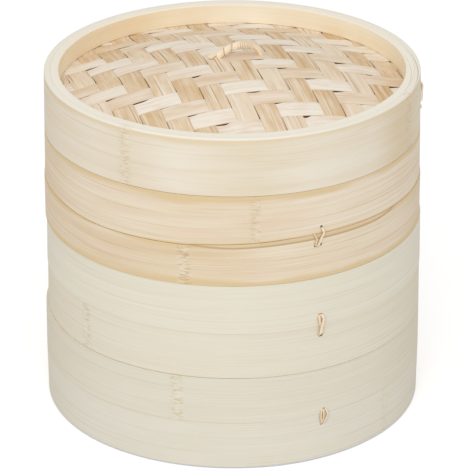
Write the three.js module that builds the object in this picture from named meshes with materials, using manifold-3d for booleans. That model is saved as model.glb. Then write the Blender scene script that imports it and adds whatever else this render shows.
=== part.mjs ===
// A bamboo steamer: three stacked tiers under a woven lid.
// Millimetres, +Z up. The origin is the middle of the ring that the bottom tier stands on,
// and the front of the steamer faces -Y.

import * as THREE from 'three';
import { mergeVertices } from 'three/addons/utils/BufferGeometryUtils.js';
import Module from 'manifold-3d';

// Bands outside and hoops inside: strips bent round, with their ends lapped
const OUTER_RADIUS = 100;
const BAND_WALL = 3.5;
const HOOP_WALL = 3;
const FIT_GAP = 0.3;
const HOOP_FACETS = 40;
const LAP_FACETS = 4;
const LAP_GAP = 0.4;
const LAP_TIP = 0.5;

// The stack: each tier's lip stands up into the piece above it
const SEAM_GAP = 0.3;
const LIP_HEIGHT = 6;
const LIP_RELIEF = 1.4;
const LIP_CLEARANCE = 0.6;
const SEAT_HEIGHT = 7;

// Bands of each tier, and the slit between its lower and its upper band
const BOTTOM_LOWER_BAND = 26.6;
const BOTTOM_UPPER_BAND = 25.4;
const MIDDLE_LOWER_BAND = 25;
const MIDDLE_UPPER_BAND = 26.7;
const TOP_LOWER_BAND = 22.1;
const TOP_UPPER_BAND = 24.5;
const CLOSED_SLIT = 0.4;
const OPEN_SLIT = 2.6;

// How far the top tier and the lid have slid to the side, within the play of the lip
const UPPER_SLIDE = -0.65;

// Where the laps are sewn, in degrees from the front towards +X
const BOTTOM_SEWN_AT = 28.1;
const MIDDLE_SEWN_AT = 26.4;
const TOP_SEWN_AT = 26.3;
const LID_SEWN_AT = 90;

// Slat floor of a tier
const SLAT_WIDTH = 14;
const SLAT_SPACE = 7;
const SLAT_THICKNESS = 2.5;
const BATTEN_WIDTH = 12;
const BATTEN_THICKNESS = 4;
const BATTEN_SPREAD = 96;
const BATTEN_LET_IN = 0.6;

// Cane stitches, each a link through the wall
const STITCH_WIDTH = 2.6;
const STITCH_THICKNESS = 1;
const STITCH_SLACK = 0.6;
const STITCH_CLEARANCE = 0.3;
const TIER_STITCH_HEIGHT = 12;

// Lid
const LID_HEIGHT = 31.3;
const LID_STITCH_RISE = 2;
const LID_STITCH_SPACE = 0.9;
const LID_LOWER_STITCH_HEIGHT = 3.2;

// Woven top of the lid, a two over, two under twill of flat strips
const WEAVE_DROP = 10.9;
const WEAVE_TURN = 14.8;
const WARP_ACROSS = 16.7;
const WEFT_ACROSS = 15.6;
const WARP_SHIFT = 3.9;
const WEFT_SHIFT = -0.75;
const STRIP_SPACE = 1.6;
const STRIP_THICKNESS = 0.7;
const STRIP_CLEARANCE = 0.35;
const TWILL_FLOAT = 2;
const DOME_RISE = 14;
const DOME_MARGIN = 5;
const DOME_POWER = 1.2;
const CLAMP_GAP = 0.5;

// Lining under the weave
const LINING_GAP = 0.5;
const LINING_THICKNESS = 1;
const LINING_RINGS = 6;

// Bow handle: a bent core through the woven top, knotted below it and wrapped above it
const HANDLE_SPAN = 24;
const HANDLE_RISE = 7.2;
const HANDLE_LEAN = 3.5;
const HANDLE_WARP_LANE = 8;
const HANDLE_WEFT_LANE = 8;
const CORE_THICKNESS = 2.4;
const CORE_SIDES = 8;
const CORE_STEPS = 24;
const CORE_TAIL = 8;
const CORE_CLEARANCE = 0.3;
const KNOT_THICKNESS = 5.2;
const WRAP_LOOPS = 11;
const WRAP_STEPS = 10;
const WRAP_SIDES = 5;
const WRAP_THICKNESS = 0.9;
const WRAP_GAP = 0.3;
const WRAP_FOOT_GAP = 0.5;

// Sizes that follow from the ones above
const bandInner = OUTER_RADIUS - BAND_WALL;
const hoopOuter = bandInner - FIT_GAP;
const hoopInner = hoopOuter - HOOP_WALL;
const floorRadius = hoopOuter - FIT_GAP;
const facetAngle = 2 * Math.PI / HOOP_FACETS;
const seatBottom = LIP_HEIGHT + LIP_CLEARANCE;
const seatTop = seatBottom + SEAT_HEIGHT;
const slatBottom = seatTop + FIT_GAP;
const slatTop = slatBottom + SLAT_THICKNESS;
const layerOffset = (STRIP_THICKNESS + STRIP_CLEARANCE) / 2;
const matHalf = layerOffset + STRIP_THICKNESS / 2;
const matMiddle = LID_HEIGHT - WEAVE_DROP - matHalf;
const domeRadius = hoopInner - DOME_MARGIN;
const liningTop = matMiddle - matHalf - LINING_GAP;
const liningBottom = liningTop - LINING_THICKNESS;
const wrapRadius = (CORE_THICKNESS + WRAP_THICKNESS) / 2 + WRAP_GAP;
const handleRadius = (HANDLE_SPAN ** 2 / 4 + HANDLE_RISE ** 2) / (2 * HANDLE_RISE);
const weftLanes = lanes(WEFT_ACROSS, WEFT_SHIFT);
const warpLanes = lanes(WARP_ACROSS, WARP_SHIFT);
const handleAlong = laneMiddle(warpLanes, HANDLE_WARP_LANE);
const handleBack = laneMiddle(weftLanes, HANDLE_WEFT_LANE);

// Tiers from the bottom up
const TIERS = [
  {
    name: 'tier_bottom',
    lowerBand: BOTTOM_LOWER_BAND,
    slit: CLOSED_SLIT,
    upperBand: BOTTOM_UPPER_BAND,
    slide: 0,
    sewnAt: BOTTOM_SEWN_AT,
  },
  {
    name: 'tier_middle',
    lowerBand: MIDDLE_LOWER_BAND,
    slit: CLOSED_SLIT,
    upperBand: MIDDLE_UPPER_BAND,
    slide: 0,
    sewnAt: MIDDLE_SEWN_AT,
  },
  {
    name: 'tier_top',
    lowerBand: TOP_LOWER_BAND,
    slit: OPEN_SLIT,
    upperBand: TOP_UPPER_BAND,
    slide: UPPER_SLIDE,
    sewnAt: TOP_SEWN_AT,
  },
];

const COLOURS = {
  lidBand: 0xe8ddc8,
  rim: 0xefe2c8,
  creamBand: 0xe2dac6,
  honeyBand: 0xe4d2b4,
  inside: 0xe0c79c,
  slat: 0xdcc08f,
  paleStrip: 0xe9decb,
  honeyStrip: 0xd4ba96,
  lining: 0xb08a58,
  cane: 0xe6cfa4,
};
const ROUGHNESS = 0.6;
const MERGE_DISTANCE = 1e-4;
const CUT_MARGIN = 1;

const wasm = await Module();
wasm.setup();

function solid(geometry) {
  const bare = geometry.clone();
  bare.deleteAttribute('normal');
  bare.deleteAttribute('uv');
  const merged = mergeVertices(bare, MERGE_DISTANCE);
  return new wasm.Manifold(new wasm.Mesh({
    numProp: 3,
    vertProperties: new Float32Array(merged.attributes.position.array),
    triVerts: new Uint32Array(merged.index.array),
  }));
}

function surface(manifold) {
  const mesh = manifold.getMesh();
  const geometry = new THREE.BufferGeometry();
  geometry.setAttribute('position', new THREE.BufferAttribute(mesh.vertProperties, 3));
  geometry.setIndex(new THREE.BufferAttribute(mesh.triVerts, 1));
  geometry.computeVertexNormals();
  return geometry;
}

function cut(geometry, tools) {
  return surface(tools.reduce((rest, tool) => rest.subtract(solid(tool)), solid(geometry)));
}

function piece(name, geometry, color) {
  const material = new THREE.MeshStandardMaterial({ color, roughness: ROUGHNESS, metalness: 0 });
  const mesh = new THREE.Mesh(geometry, material);
  mesh.name = name;
  return mesh;
}

function raised(shape, bottom, top) {
  const geometry = new THREE.ExtrudeGeometry(shape, { depth: top - bottom, bevelEnabled: false });
  return geometry.translate(0, 0, bottom);
}

function polar(radius, angle) {
  return new THREE.Vector2(radius * Math.cos(angle), radius * Math.sin(angle));
}

// Angle in the plan of a place given in degrees from the front towards +X
function fromFront(degrees) {
  return THREE.MathUtils.degToRad(degrees - 90);
}

// Every ring of a tier starts its facets at its lap, so that the rings keep an even gap
function lapStart(sewnAngle) {
  return sewnAngle - LAP_FACETS * facetAngle / 2;
}

function disc(radius, bottom, top, start) {
  const corners = [];
  for (let k = 0; k < HOOP_FACETS; k += 1) corners.push(polar(radius, start + k * facetAngle));
  return raised(new THREE.Shape(corners), bottom, top);
}

// A strip bent into a ring: one end tapers over the other along the lap
function lappedRing(inner, outer, bottom, top, start) {
  const gapAngle = LAP_GAP / outer;
  const lapAngle = LAP_FACETS * facetAngle;
  const full = 2 * Math.PI;
  const overEnd = outer - LAP_TIP;
  const underEnd = inner + LAP_TIP;
  const outline = [];
  for (let k = 0; k < HOOP_FACETS; k += 1) outline.push(polar(outer, start + k * facetAngle));
  outline.push(polar(outer, start + full - gapAngle));
  for (let k = 0; k < LAP_FACETS; k += 1) {
    const radius = THREE.MathUtils.lerp(overEnd - LAP_GAP, underEnd, k / LAP_FACETS);
    outline.push(polar(radius, start + full + k * facetAngle - (k === 0 ? gapAngle : 0)));
  }
  outline.push(polar(underEnd, start + full + lapAngle - gapAngle));
  outline.push(polar(inner, start + full + lapAngle - gapAngle));
  for (let k = HOOP_FACETS + LAP_FACETS - 1; k >= LAP_FACETS; k -= 1) {
    outline.push(polar(inner, start + k * facetAngle));
  }
  for (let k = LAP_FACETS; k >= 0; k -= 1) {
    const radius = THREE.MathUtils.lerp(overEnd, underEnd + LAP_GAP, k / LAP_FACETS);
    outline.push(polar(radius, start + k * facetAngle));
  }
  return raised(new THREE.Shape(outline), bottom, top);
}

// A plain ring, used to thin the lip of a hoop
function plainRing(inner, outer, bottom, top, start) {
  const bore = disc(inner, bottom - CUT_MARGIN, top + CUT_MARGIN, start);
  return cut(disc(outer, bottom, top, start), [bore]);
}

// A cane stitch: a flat link whose two legs run through the wall at one angle
function stitch(name, bottom, top, angle) {
  const innerFace = hoopInner - STITCH_SLACK;
  const outerFace = OUTER_RADIUS + FIT_GAP;
  const rectangle = (grow, Kind) => new Kind([
    new THREE.Vector2(innerFace - grow, bottom + STITCH_THICKNESS - grow),
    new THREE.Vector2(outerFace + grow, bottom + STITCH_THICKNESS - grow),
    new THREE.Vector2(outerFace + grow, top - STITCH_THICKNESS + grow),
    new THREE.Vector2(innerFace - grow, top - STITCH_THICKNESS + grow),
  ]);
  const link = rectangle(STITCH_THICKNESS, THREE.Shape);
  link.holes.push(rectangle(0, THREE.Path));
  const geometry = raised(link, -STITCH_WIDTH / 2, STITCH_WIDTH / 2);
  return piece(name, geometry.rotateX(Math.PI / 2).rotateZ(angle), COLOURS.cane);
}

// The two holes that a stitch's legs run through
function stitchHoles(bottom, top, angle) {
  const reach = 2 * (OUTER_RADIUS - hoopInner);
  return [bottom + STITCH_THICKNESS / 2, top - STITCH_THICKNESS / 2].map((height) => {
    const width = STITCH_WIDTH + 2 * STITCH_CLEARANCE;
    const hole = new THREE.BoxGeometry(reach, width, STITCH_THICKNESS + 2 * STITCH_CLEARANCE);
    return hole.translate((OUTER_RADIUS + hoopInner) / 2, 0, height).rotateZ(angle);
  });
}

// The slot that the inner run of a stitch takes through the woven top and its lining
function stitchSlot(bottom, top, angle) {
  const depth = STITCH_THICKNESS + 2 * STITCH_CLEARANCE;
  const slot = new THREE.BoxGeometry(depth, STITCH_WIDTH + 2 * STITCH_CLEARANCE, top - bottom);
  slot.translate(hoopInner - STITCH_SLACK - STITCH_THICKNESS / 2, 0, (bottom + top) / 2);
  return slot.rotateZ(angle);
}

// Slats across the tier, let in over two battens below them
function slatFloor(start) {
  const pitch = SLAT_WIDTH + SLAT_SPACE;
  const count = Math.floor((2 * floorRadius + SLAT_SPACE) / pitch);
  const trim = solid(disc(floorRadius, slatBottom, slatTop, start));
  const battenTop = slatBottom + BATTEN_LET_IN;
  const battenTrim = solid(disc(hoopInner - FIT_GAP, battenTop - BATTEN_THICKNESS, battenTop, start));
  const bars = [];
  for (let k = 0; k < count; k += 1) {
    const slat = new THREE.BoxGeometry(2 * OUTER_RADIUS, SLAT_WIDTH, 2 * SLAT_THICKNESS);
    slat.translate(0, (k - (count - 1) / 2) * pitch, slatTop - SLAT_THICKNESS);
    bars.push(solid(slat).intersect(trim));
  }
  for (const side of [-1, 1]) {
    const batten = new THREE.BoxGeometry(BATTEN_WIDTH, 2 * OUTER_RADIUS, 2 * BATTEN_THICKNESS);
    batten.translate(side * BATTEN_SPREAD / 2, 0, battenTop - BATTEN_THICKNESS);
    bars.push(solid(batten).intersect(battenTrim));
  }
  return surface(bars.reduce((floor, bar) => floor.add(bar)));
}

function tierHeight(tier) {
  return tier.lowerBand + tier.slit + tier.upperBand;
}

function makeTier(tier) {
  const angle = fromFront(tier.sewnAt);
  const start = lapStart(angle);
  const height = tierHeight(tier);
  const bandBottom = tier.lowerBand + tier.slit;
  const stitchBottom = tier.lowerBand + (tier.slit - TIER_STITCH_HEIGHT) / 2;
  const stitchTop = stitchBottom + TIER_STITCH_HEIGHT;
  const holes = stitchHoles(stitchBottom, stitchTop, angle);
  const lipTop = height + LIP_HEIGHT;
  const hoop = lappedRing(hoopInner, hoopOuter, slatTop + FIT_GAP, lipTop, start);
  const relief = plainRing(hoopOuter - LIP_RELIEF, OUTER_RADIUS, height, lipTop + CUT_MARGIN, start);
  const lowerBand = lappedRing(bandInner, OUTER_RADIUS, 0, tier.lowerBand, start);
  const upperBand = lappedRing(bandInner, OUTER_RADIUS, bandBottom, height, start);
  const seat = lappedRing(hoopInner, hoopOuter, seatBottom, seatTop, start);
  const group = new THREE.Group();
  group.add(
    piece(`${tier.name}_lower_band`, cut(lowerBand, holes), COLOURS.creamBand),
    piece(`${tier.name}_upper_band`, cut(upperBand, holes), COLOURS.honeyBand),
    piece(`${tier.name}_inner_hoop`, cut(hoop, [relief, ...holes]), COLOURS.inside),
    piece(`${tier.name}_seat_hoop`, seat, COLOURS.inside),
    piece(`${tier.name}_slat_floor`, slatFloor(start), COLOURS.slat),
    stitch(`${tier.name}_stitch`, stitchBottom, stitchTop, angle),
  );
  group.position.x = tier.slide;
  return group;
}

// Height of the woven top over its clamped edge
function dome(radius) {
  const inside = Math.max(0, 1 - (radius / domeRadius) ** 2);
  return DOME_RISE * inside ** DOME_POWER;
}

// Lanes of parallel strips that cover the mat, by how many fit across it
function lanes(across, shift) {
  return { count: Math.ceil(across), pitch: 2 * floorRadius / across, shift };
}

function laneEdge(lane, index) {
  return (index - lane.count / 2) * lane.pitch + lane.shift;
}

function laneMiddle(lane, index) {
  return laneEdge(lane, index) + lane.pitch / 2;
}

function stripWidth(lane) {
  return lane.pitch - STRIP_SPACE;
}

function twoDigits(number) {
  return String(number).padStart(2, '0');
}

function weftIsOver(warp, weft) {
  return (warp + weft) % (2 * TWILL_FLOAT) < TWILL_FLOAT;
}

// Where a strip bends: a pair of places at each slit where it changes sides,
// and a single one at a slit that it crosses level
function stripStations(crossed, isOver) {
  const height = (index) => (isOver(index) ? layerOffset : -layerOffset);
  const last = crossed.count - 1;
  const stations = [{ along: -OUTER_RADIUS - crossed.pitch, height: height(0) }];
  for (let k = 0; k <= crossed.count; k += 1) {
    const slit = laneEdge(crossed, k);
    const before = height(Math.max(k - 1, 0));
    const after = height(Math.min(k, last));
    if (before === after) {
      stations.push({ along: slit, height: after });
    } else {
      stations.push({ along: slit - STRIP_SPACE / 2, height: before });
      stations.push({ along: slit + STRIP_SPACE / 2, height: after });
    }
  }
  stations.push({ along: OUTER_RADIUS + crossed.pitch, height: height(last) });
  return stations;
}

// A strip laid along X over the dome
function stripGeometry(across, width, stations) {
  const steps = stations.length - 1;
  const geometry = new THREE.BoxGeometry(steps, width, STRIP_THICKNESS, steps, 1, 1);
  const position = geometry.attributes.position;
  for (let k = 0; k < position.count; k += 1) {
    const station = stations[Math.round(position.getX(k) + steps / 2)];
    const y = position.getY(k) + across;
    const lift = matMiddle + dome(Math.hypot(station.along, y)) + station.height;
    position.setXYZ(k, station.along, y, position.getZ(k) + lift);
  }
  return geometry;
}

function liningGeometry() {
  const under = [];
  for (let k = 0; k <= LINING_RINGS; k += 1) {
    const radius = domeRadius * k / LINING_RINGS;
    under.push(new THREE.Vector2(radius, liningBottom + dome(radius)));
  }
  under.push(new THREE.Vector2(floorRadius, liningBottom));
  const over = under.map((point) => new THREE.Vector2(point.x, point.y + LINING_THICKNESS)).reverse();
  return new THREE.LatheGeometry([...under, ...over], HOOP_FACETS).rotateX(Math.PI / 2);
}

// The handle's bow: an arc between its tails that leans, so its top lies to one side of its feet
class BowCurve extends THREE.Curve {
  constructor(top, halfAngle) {
    super();
    this.top = top;
    this.halfAngle = halfAngle;
  }

  getPoint(t, target = new THREE.Vector3()) {
    const angle = (2 * t - 1) * this.halfAngle;
    const drop = handleRadius * (1 - Math.cos(angle));
    const lean = HANDLE_LEAN * (1 - drop / HANDLE_RISE);
    return target.set(handleRadius * Math.sin(angle) + lean, 0, this.top - drop);
  }
}

// One strand wound round a bow at an even pitch
class WrapCurve extends THREE.Curve {
  constructor(bow) {
    super();
    this.bow = bow;
  }

  getPoint(t, target = new THREE.Vector3()) {
    const middle = this.bow.getPointAt(t);
    const along = this.bow.getTangentAt(t);
    const turn = 2 * Math.PI * WRAP_LOOPS * t;
    const outward = wrapRadius * Math.cos(turn);
    const sideways = wrapRadius * Math.sin(turn);
    return target.set(middle.x - outward * along.z, sideways, middle.z + outward * along.x);
  }
}

function roundSection(radius, sides) {
  const corners = [];
  for (let k = 0; k < sides; k += 1) corners.push(polar(radius, 2 * Math.PI * k / sides));
  return new THREE.Shape(corners);
}

function tube(curve, thickness, sides, steps) {
  const options = { steps, bevelEnabled: false, extrudePath: curve };
  return new THREE.ExtrudeGeometry(roundSection(thickness / 2, sides), options);
}

// Least gap between neighbouring loops of a wound tube, measured on points of its middle line
function leastGapToItself(curve, loops, steps, thickness) {
  const points = curve.getPoints(loops * steps);
  let least = Infinity;
  for (let a = 0; a < points.length; a += 1) {
    for (let b = a + Math.ceil(steps / 2); b < points.length; b += 1) {
      least = Math.min(least, points[a].distanceTo(points[b]) - thickness);
    }
  }
  return least;
}

// The woven top, its lining and its handle, in a frame that lies along the strips
function makeWovenTop(sewnAngle) {
  const footHeight = matMiddle + matHalf + dome(Math.hypot(handleAlong, handleBack));
  const bowTop = footHeight + HANDLE_RISE;
  const footAngle = Math.asin(HANDLE_SPAN / 2 / handleRadius);
  const tailAngle = footAngle + CORE_TAIL / handleRadius;
  const wrapDrop = HANDLE_RISE - wrapRadius - WRAP_THICKNESS / 2 - WRAP_FOOT_GAP;
  const wrapAngle = Math.acos(1 - wrapDrop / handleRadius);
  const bow = new BowCurve(bowTop, tailAngle);
  const wrap = new WrapCurve(new BowCurve(bowTop, wrapAngle));
  const core = tube(bow, CORE_THICKNESS, CORE_SIDES, CORE_STEPS);
  const passage = tube(bow, CORE_THICKNESS + 2 * CORE_CLEARANCE, CORE_SIDES, CORE_STEPS);
  const place = (geometry) => geometry.translate(handleAlong, handleBack, 0);
  const knots = [0, 1].map((t) => {
    const end = bow.getPoint(t);
    const ball = new THREE.SphereGeometry(KNOT_THICKNESS / 2, CORE_SIDES, CORE_SIDES - 2);
    return solid(place(ball.translate(end.x, end.y, end.z)));
  });
  const passages = solid(place(passage)).add(solid(stitchSlot(0, LID_HEIGHT, sewnAngle)));
  const handleCore = knots.reduce((joined, knot) => joined.add(knot), solid(place(core)));
  const handleWrap = place(tube(wrap, WRAP_THICKNESS, WRAP_SIDES, WRAP_LOOPS * WRAP_STEPS));
  const gap = leastGapToItself(wrap, WRAP_LOOPS, 2 * WRAP_STEPS, WRAP_THICKNESS);
  console.log(`handle wrap: least gap to itself ${gap.toFixed(2)} mm`);

  const mat = solid(disc(floorRadius, 0, 2 * LID_HEIGHT, 0));
  const trimmed = (geometry) => surface(solid(geometry).intersect(mat).subtract(passages));
  const group = new THREE.Group();
  for (let weft = 0; weft < weftLanes.count; weft += 1) {
    const stations = stripStations(warpLanes, (warp) => weftIsOver(warp, weft));
    const strip = stripGeometry(laneMiddle(weftLanes, weft), stripWidth(weftLanes), stations);
    group.add(piece(`lid_weft_strip_${twoDigits(weft + 1)}`, trimmed(strip), COLOURS.paleStrip));
  }
  for (let warp = 0; warp < warpLanes.count; warp += 1) {
    const stations = stripStations(weftLanes, (weft) => !weftIsOver(warp, weft));
    const strip = stripGeometry(-laneMiddle(warpLanes, warp), stripWidth(warpLanes), stations);
    strip.rotateZ(Math.PI / 2);
    group.add(piece(`lid_warp_strip_${twoDigits(warp + 1)}`, trimmed(strip), COLOURS.honeyStrip));
  }
  const lining = surface(solid(liningGeometry()).subtract(passages));
  group.add(
    piece('lid_lining', lining, COLOURS.lining),
    piece('lid_handle_core', surface(handleCore), COLOURS.cane),
    piece('lid_handle_wrap', handleWrap, COLOURS.cane),
  );
  return group;
}

function makeLid() {
  const angle = fromFront(LID_SEWN_AT);
  const start = lapStart(angle);
  const group = new THREE.Group();
  const matTop = matMiddle + matHalf;
  const lowerTop = seatBottom + LID_LOWER_STITCH_HEIGHT;
  const upperBottom = lowerTop + LID_STITCH_SPACE;
  const upperTop = matTop + LID_STITCH_RISE;
  const holes = [
    ...stitchHoles(seatBottom, lowerTop, angle),
    ...stitchHoles(upperBottom, upperTop, angle),
  ];
  const turn = THREE.MathUtils.degToRad(WEAVE_TURN);
  const wovenTop = makeWovenTop(angle - turn);
  wovenTop.rotation.z = turn;
  const outerBand = lappedRing(bandInner, OUTER_RADIUS, 0, LID_HEIGHT, start);
  const innerBand = lappedRing(hoopInner, hoopOuter, matTop + CLAMP_GAP, LID_HEIGHT, start);
  const seat = lappedRing(hoopInner, hoopOuter, seatBottom, liningBottom - FIT_GAP, start);
  group.add(
    piece('lid_outer_band', cut(outerBand, holes), COLOURS.lidBand),
    piece('lid_inner_band', cut(innerBand, holes), COLOURS.rim),
    piece('lid_seat_hoop', cut(seat, holes), COLOURS.inside),
    stitch('lid_stitch_upper', upperBottom, upperTop, angle),
    stitch('lid_stitch_lower', seatBottom, lowerTop, angle),
    wovenTop,
  );
  group.position.x = UPPER_SLIDE;
  return group;
}

const steamer = new THREE.Group();
let stackHeight = 0;
for (const tier of TIERS) {
  const group = makeTier(tier);
  group.position.z = stackHeight;
  steamer.add(group);
  stackHeight += tierHeight(tier) + SEAM_GAP;
}
const lid = makeLid();
lid.position.z = stackHeight;
steamer.add(lid);

export default steamer;
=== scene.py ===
import math
import random

import bmesh
import bpy
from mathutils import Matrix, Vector, noise


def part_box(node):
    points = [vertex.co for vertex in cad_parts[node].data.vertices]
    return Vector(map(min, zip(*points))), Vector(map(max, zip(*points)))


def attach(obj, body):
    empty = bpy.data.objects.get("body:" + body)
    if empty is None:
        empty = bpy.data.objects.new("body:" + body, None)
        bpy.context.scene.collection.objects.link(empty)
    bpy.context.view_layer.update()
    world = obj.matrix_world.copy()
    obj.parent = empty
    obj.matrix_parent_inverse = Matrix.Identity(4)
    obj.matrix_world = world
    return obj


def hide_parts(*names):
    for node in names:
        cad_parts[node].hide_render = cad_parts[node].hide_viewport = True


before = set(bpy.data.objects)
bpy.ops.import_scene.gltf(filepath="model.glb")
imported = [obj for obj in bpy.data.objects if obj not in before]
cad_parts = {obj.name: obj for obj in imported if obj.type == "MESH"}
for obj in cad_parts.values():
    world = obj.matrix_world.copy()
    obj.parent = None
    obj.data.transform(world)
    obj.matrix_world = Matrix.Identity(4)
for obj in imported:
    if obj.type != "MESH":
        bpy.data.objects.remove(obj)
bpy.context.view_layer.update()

# Sizes are in millimetres until a piece is finished, and then go to metres
MM = 0.001

# Bent bands and hoops: their radii, and how far a band reaches over its neighbour's edge
BAND_OUTER = 100.0
BAND_INNER = 96.5
HOOP_OUTER = 96.2
HOOP_INNER = 93.2
LIP_OUTER = 94.8
LIP_START = 0.2
BAND_OVERLAP = 0.1
RING_STEPS = 220

# Lap of a bent strip: how far round it goes, how thin its tip is, and its gap to the end below it
LAP = math.radians(36)
LAP_TIP = 0.05
LAP_GAP = 0.03

# How far the long edges are rounded
BAND_EDGE = 0.18
FOOT_EDGE = 0.8
SEAM_EDGE = 0.12
HOOP_EDGE = 0.5
SHARP_ANGLE = math.radians(55)

# What bending leaves uneven: how far a ring is out of round, in how many waves, and the swelling at a node
OUT_OF_ROUND, ROUND_WAVES = 0.28, 1.2
NODE_SWELL, NODE_LENGTH = 0.1, 2.2

# What is laid on a strip where it has no node and no tinted rim, and how far from a node is still told apart
NO_MARK = (-99.0, 0.0)
NO_RIM = 9.0
MARK_REACH = 40.0

# How far each body has slid to the side, and where its laps are sewn, in degrees from the front
SLIDE = {"tier_bottom": -0.6, "tier_middle": 0.0, "tier_top": -0.65, "lid": -0.65}
SEWN = {"tier_bottom": 28.1, "tier_middle": 26.4, "tier_top": 26.3, "lid": 90.0}

# Stitches: the holes through the wall, how round a strand is, and how far behind the hoop its ends lie
BORE_START, BORE_LENGTH, BORE_EDGE = 84.0, 24.0, 0.5
STRAND_EDGE = 0.36
STITCH_BEHIND = 0.7
STITCH_THICKNESS = 0.8

# Slit of the top tier: its height, the line that stays open, and how far the upper band hangs into it, by
# degrees from the front. The lower band's shoulder starts at these shares of its thickness and height
SLIT, SLIT_LINE = 2.6, 0.16
SLIT_SAG = (
    (-180.0, 1.5), (-90.0, 1.5), (-64.0, 1.7), (-48.0, 2.9), (-14.0, 2.7), (-9.0, 2.0),
    (8.0, 1.0), (17.0, 0.3), (30.0, 0.0), (55.0, 0.0), (70.0, 0.4), (180.0, 1.5),
)
SHOULDER_EDGE = 1.9
SHOULDER_OUT, SHOULDER_UP = 0.45, 0.85

# Rim of the lid, and half the height of each of its stitches
LID_OUTER = 99.0
LID_JOINT = 95.6
LID_INNER = 91.2
LID_JOINT_GAP = 0.03
LID_INNER_DROP = 0.42
LID_UPPER_HALF, LID_LOWER_HALF = 6.3, 1.2

# Woven top
MAT_RADIUS = 95.9
MAT_MIDDLE = 19.73
MAT_EDGE = MAT_RADIUS - 0.6
DOME_RADIUS, DOME_RISE, DOME_POWER = 88.2, 14.0, 1.2
WEAVE_TURN = math.radians(14.8)
WARP_COUNT, WARP_PITCH, WARP_SHIFT = 17, 2 * MAT_RADIUS / 16.7, 3.9
WEFT_COUNT, WEFT_PITCH, WEFT_SHIFT = 16, 2 * MAT_RADIUS / 15.6, -0.75
STRIP_SPACE = 0.2
STRIP_THICKNESS = 0.45
STRIP_LAYER = 0.32
STRIP_BEND = 2.6
STRIP_STEPS = 170
STRIP_EDGE = 0.16
STRIP_RIM = 0.3
STRIP_CROWN = 0.12
STRIP_WANDER = 0.2

# Slits of the weave: how deep the widest are, and in which ranges their depth, place and half length fall
WEFT_SLIT, WARP_SLIT = 1.9, 0.15
SLIT_DEPTHS, SLIT_PLACES, SLIT_HALVES = (-0.2, 1.0), (-0.45, -0.1), (2.5, 5.0)

# Honey of the woven strips, from the front of the lid to its back and from end to end
WEFT_HONEY, WARP_HONEY = 0.24, 0.1

# Sheet under the weave, dark brown with painted shade
LINING_THICKNESS, LINING_GAP, LINING_EDGE = 1.0, 0.5, 0.2
LINING_STEPS = 64

# Slat floor
SLATS, SLAT_PITCH, SLAT_WIDTH, SLAT_THICKNESS = 9, 21.0, 14.0, 2.5
SLAT_EDGE, SLAT_RIM, SLAT_STEPS = 0.5, 0.6, 24
BATTEN_SPREAD, BATTEN_WIDTH, BATTEN_THICKNESS, BATTEN_LET_IN = 96.0, 12.0, 4.0, 0.6
BATTEN_EDGE, BATTEN_GAP = 0.8, 0.4

# Bow handle, in the frame of the weave: its place, its arc, and the core with its tails and knots
HANDLE_ALONG, HANDLE_BACK, HANDLE_UP = 4.5, 5.4, 0.7
HANDLE_HALF, HANDLE_RISE, HANDLE_LEAN = 12.1, 5.9, 2.4
CORE_THICKNESS, CORE_EDGE, CORE_TAIL = 2.8, 0.42, 7.0
CORE_HONEY = 0.5
CORE_STEPS = 60
KNOT_TURNS, KNOT_GIRTH, KNOT_RADIUS, KNOT_PITCH = 2.4, 2 * math.pi * 2.0, 1.9, 1.3
KNOT_WIDTH, KNOT_THICKNESS, KNOT_EDGE, KNOT_STEPS, KNOT_BACK = 1.5, 1.3, 0.5, 48, 1.2

# Wrap of the handle: its gap to the core, the angle that it starts at, and the loose ends at the bow's left
# foot, each by how far it lies out and towards the back
WRAP_GAP, WRAP_START = 0.05, 2.6
LOOSE_ENDS = ((-2.8, 2.9), (-3.6, 1.4), (-3.7, -0.1), (-3.0, -1.5))
LOOSE_WIDTH, LOOSE_THICKNESS, LOOSE_TAPER, LOOSE_RIM, LOOSE_HONEY = 1.9, 1.0, 0.2, 0.06, 0.2
LOOSE_START, LOOSE_UP, LOOSE_ARCH = 2.4, 1.15, 0.7

# Studio, in metres and watts
FLOOR_SIZE, FLOOR_GREY, FLOOR_GLOW = 6.0, 0.8, 0.39
TENT_LIGHT, TENT_WHITE = 0.7, 1.0
SOFTBOX_SIZE, SOFTBOX_POWER = 2.2, 22.0
SOFTBOX_PLACE, SOFTBOX_AIM = (-0.2, -2.0, 1.75), (0, 0, 0.1)
CAMERA_PLACE, CAMERA_TILT = (0.00081, -1.5572, 0.8039), math.radians(90 - 24.695)
CAMERA_LENS, CAMERA_SENSOR = 243.82, 36.0
CAMERA_NEAR, CAMERA_FAR = 0.05, 20.0


# Measures

def levels(node):
    """Lower and upper level of a node."""
    low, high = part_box(node)
    return low.z / MM, high.z / MM


def plan(degrees):
    """Angle in the plan of a place in degrees from the front towards the right."""
    return math.radians(degrees - 90)


def from_plan(angle):
    """Degrees from the front of an angle in the plan."""
    return math.degrees(angle) + 90


def from_front(degrees):
    """Degrees from the front, between -180 on the left and 180 on the right."""
    return (degrees + 180) % 360 - 180


def mix(a, b, share):
    return a + (b - a) * share


def soft_step(low, high, value):
    share = max(0.0, min(1.0, (value - low) / (high - low)))
    return share * share * (3 - 2 * share)


def out_of_round(angle, seed):
    """How far a ring stands out at an angle."""
    place = Vector((ROUND_WAVES * math.cos(angle), ROUND_WAVES * math.sin(angle), seed))
    return OUT_OF_ROUND * noise.noise(place)


# Shapes

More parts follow.
